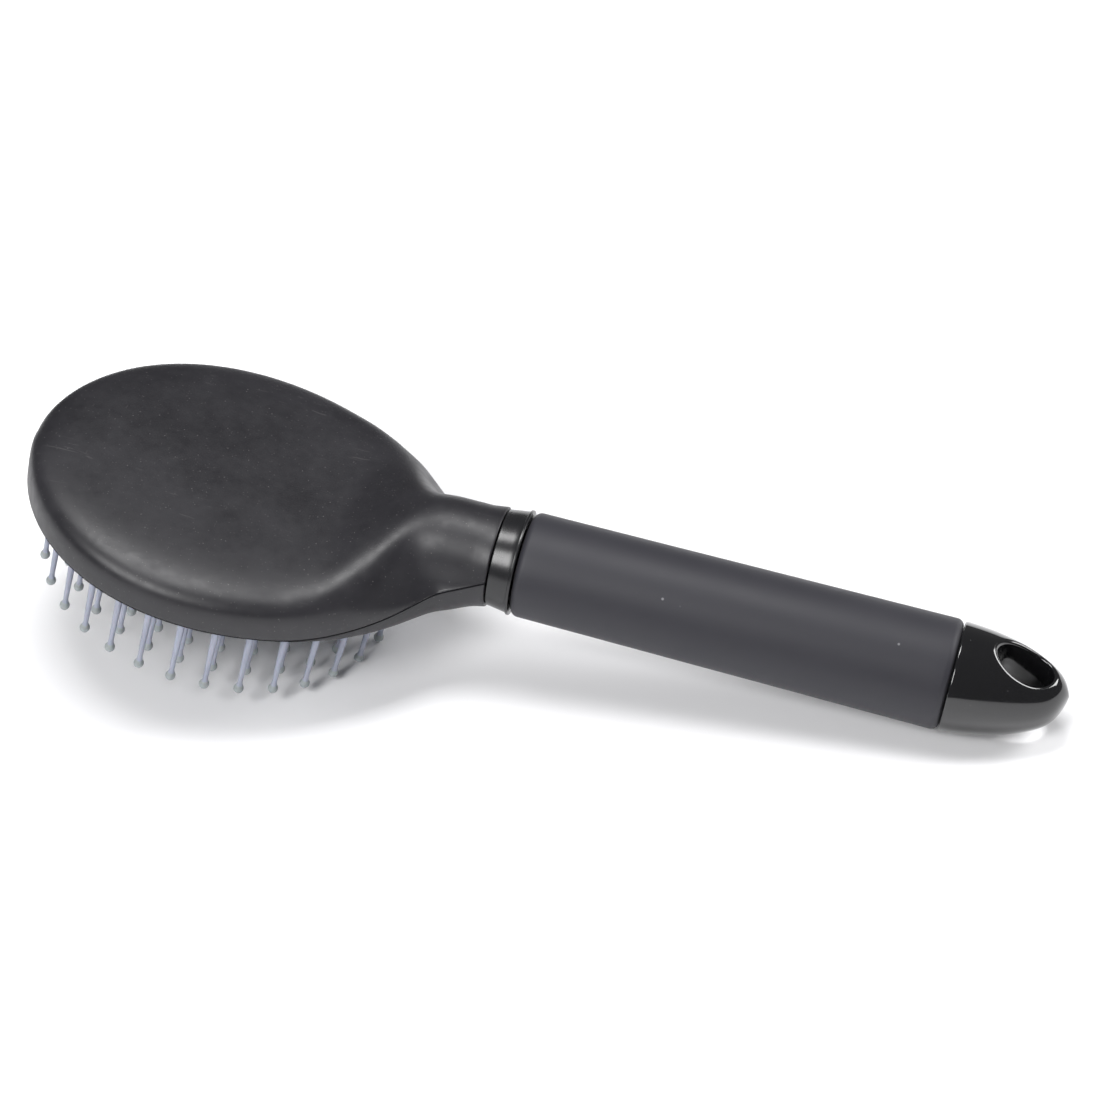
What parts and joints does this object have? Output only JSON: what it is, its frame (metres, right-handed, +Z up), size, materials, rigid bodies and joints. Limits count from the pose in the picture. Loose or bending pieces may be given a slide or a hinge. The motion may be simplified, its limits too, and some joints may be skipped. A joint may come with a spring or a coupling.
{
  "type": "pin brush",
  "caption": "Oval-headed cushion pin brush for mane and tail: ball-tipped pins in an air-cushion pad, two-part head, collar, rubber grip sleeve and end cap with a hanging hole",
  "frame": {"origin": "On the surface that the brush lies on, under the middle of its bounding box.", "axes": "+X runs from the head's tip to the butt of the handle, +Y across the head, +Z up out of the head's back. The brush is at rest on the pins nearest the neck and on the flat under the butt."},
  "size_m": [0.2464, 0.0802, 0.0509],
  "materials": {
    "head_plastic": "matte black moulded plastic, slightly dusty",
    "pad_rubber": "matte black rubber",
    "grip_rubber": "soft-touch charcoal rubber",
    "gloss_plastic": "polished black plastic",
    "core_plastic": "plain black plastic",
    "pin_plastic": "satin lavender-grey plastic"
  },
  "bodies": {
    "brush": {"back_shell": "head_plastic", "front_frame": "head_plastic", "cushion_pad": "pad_rubber", "handle_core": "core_plastic", "collar": "gloss_plastic", "grip_sleeve": "grip_rubber", "end_cap": "gloss_plastic"},
    "pin_field": {"pin_strip_1a": "pin_plastic", "pin_strip_1b": "pin_plastic", "pin_strip_1c": "pin_plastic", "pin_strip_1d": "pin_plastic", "pin_strip_1e": "pin_plastic", "pin_strip_1f": "pin_plastic", "pin_strip_1g": "pin_plastic", "pin_strip_1h": "pin_plastic", "pin_strip_2a": "pin_plastic", "pin_strip_2b": "pin_plastic", "pin_strip_2c": "pin_plastic", "pin_strip_2d": "pin_plastic", "pin_strip_2e": "pin_plastic", "pin_strip_2f": "pin_plastic", "pin_strip_2g": "pin_plastic", "pin_strip_3a": "pin_plastic", "pin_strip_3b": "pin_plastic", "pin_strip_3c": "pin_plastic", "pin_strip_3d": "pin_plastic", "pin_strip_3e": "pin_plastic", "pin_strip_3f": "pin_plastic", "pin_strip_4a": "pin_plastic", "pin_strip_4b": "pin_plastic", "pin_strip_4c": "pin_plastic", "pin_strip_4d": "pin_plastic", "pin_strip_5a": "pin_plastic", "pin_strip_5b": "pin_plastic", "pin_strip_5c": "pin_plastic", "pin_strip_6a": "pin_plastic", "pin_strip_6b": "pin_plastic"}
  },
  "joints": [
    {"name": "cushion_press", "type": "slide", "parent": "brush", "child": "pin_field", "axis": [0.2335, 0, 0.9723], "range_m": [0, 0.0025], "stiffness_N_per_m": 2500, "deforming": ["cushion_pad"]}
  ]
}
